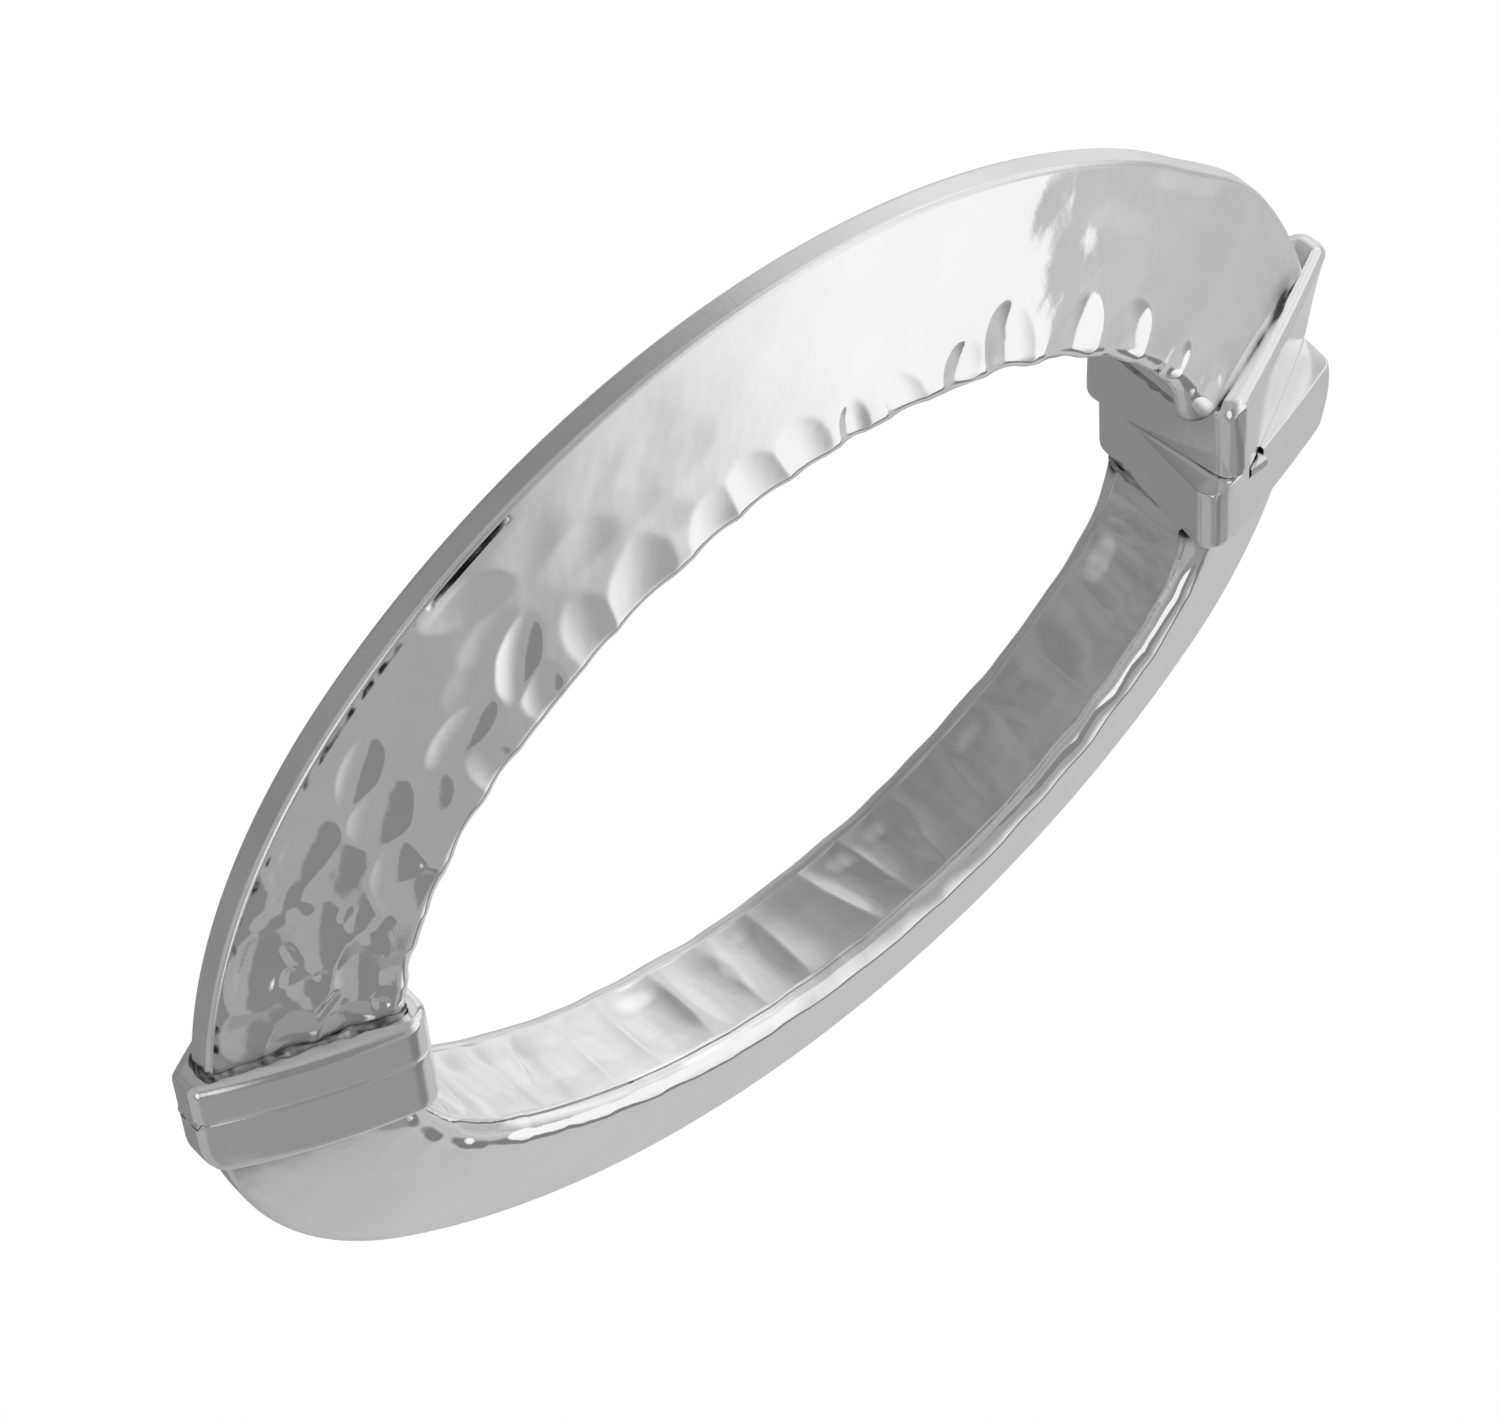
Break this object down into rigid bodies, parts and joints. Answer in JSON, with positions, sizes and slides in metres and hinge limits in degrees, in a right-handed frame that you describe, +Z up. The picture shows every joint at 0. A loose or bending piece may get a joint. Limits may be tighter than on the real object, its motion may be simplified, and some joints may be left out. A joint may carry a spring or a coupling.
{
  "type": "bangle bracelet",
  "caption": "Oval hinged bangle of hollow hammered silver sheet with a knife-edged section, thick end collars, a concealed hinge and a box and tongue clasp.",
  "frame": {"origin": "centre of the footprint of the bangle lying flat, on the surface that it lies on", "axes": "+Z up, along the way a hand goes through; +X along the longest extent, from the clasp to the hinge; the box half is on +Y and the tongue half on -Y"},
  "size_m": [0.0856, 0.0676, 0.0114],
  "materials": {
    "hammered_sheet": "polished silver, hand hammered, fine wear",
    "inner_band_silver": "polished silver with planishing marks and fine wear",
    "rim_silver": "polished silver, satin from wear along the rim",
    "collar_silver": "polished silver, dark in the crevices",
    "fitting_silver": "silver, lightly oxidised"
  },
  "bodies": {
    "tongue_half": {"tongue_half_top_sheet": "hammered_sheet", "tongue_half_bottom_sheet": "hammered_sheet", "tongue_half_inner_band": "inner_band_silver", "tongue_half_rim_strip": "rim_silver", "tongue_half_hinge_collar": "collar_silver", "tongue_half_hinge_plate": "fitting_silver", "tongue_half_clasp_collar": "collar_silver", "tongue_half_clasp_plate": "fitting_silver", "tongue_half_knuckles": "collar_silver", "hinge_pin": "fitting_silver", "tongue_base": "fitting_silver"},
    "box_half": {"box_half_top_sheet": "hammered_sheet", "box_half_bottom_sheet": "hammered_sheet", "box_half_inner_band": "inner_band_silver", "box_half_rim_strip": "rim_silver", "box_half_hinge_collar": "collar_silver", "box_half_hinge_plate": "fitting_silver", "box_half_clasp_collar": "collar_silver", "box_half_clasp_plate": "fitting_silver", "box_half_knuckle": "collar_silver", "catch_box": "fitting_silver"},
    "tongue_spring": {"tongue_spring_leaf": "fitting_silver", "thumb_tab": "collar_silver"}
  },
  "joints": [
    {"name": "hinge_open", "type": "hinge", "parent": "tongue_half", "child": "box_half", "pos_m": [0.042, 0.0009, 0.0057], "axis": [0, 0, -1], "range_deg": [0, 50]},
    {"name": "tab_press", "type": "hinge", "parent": "tongue_half", "child": "tongue_spring", "pos_m": [-0.0322, 0.00647, 0.00525], "axis": [1, 0, 0], "range_deg": [0, 3], "stiffness_Nm_per_rad": 0.02}
  ]
}
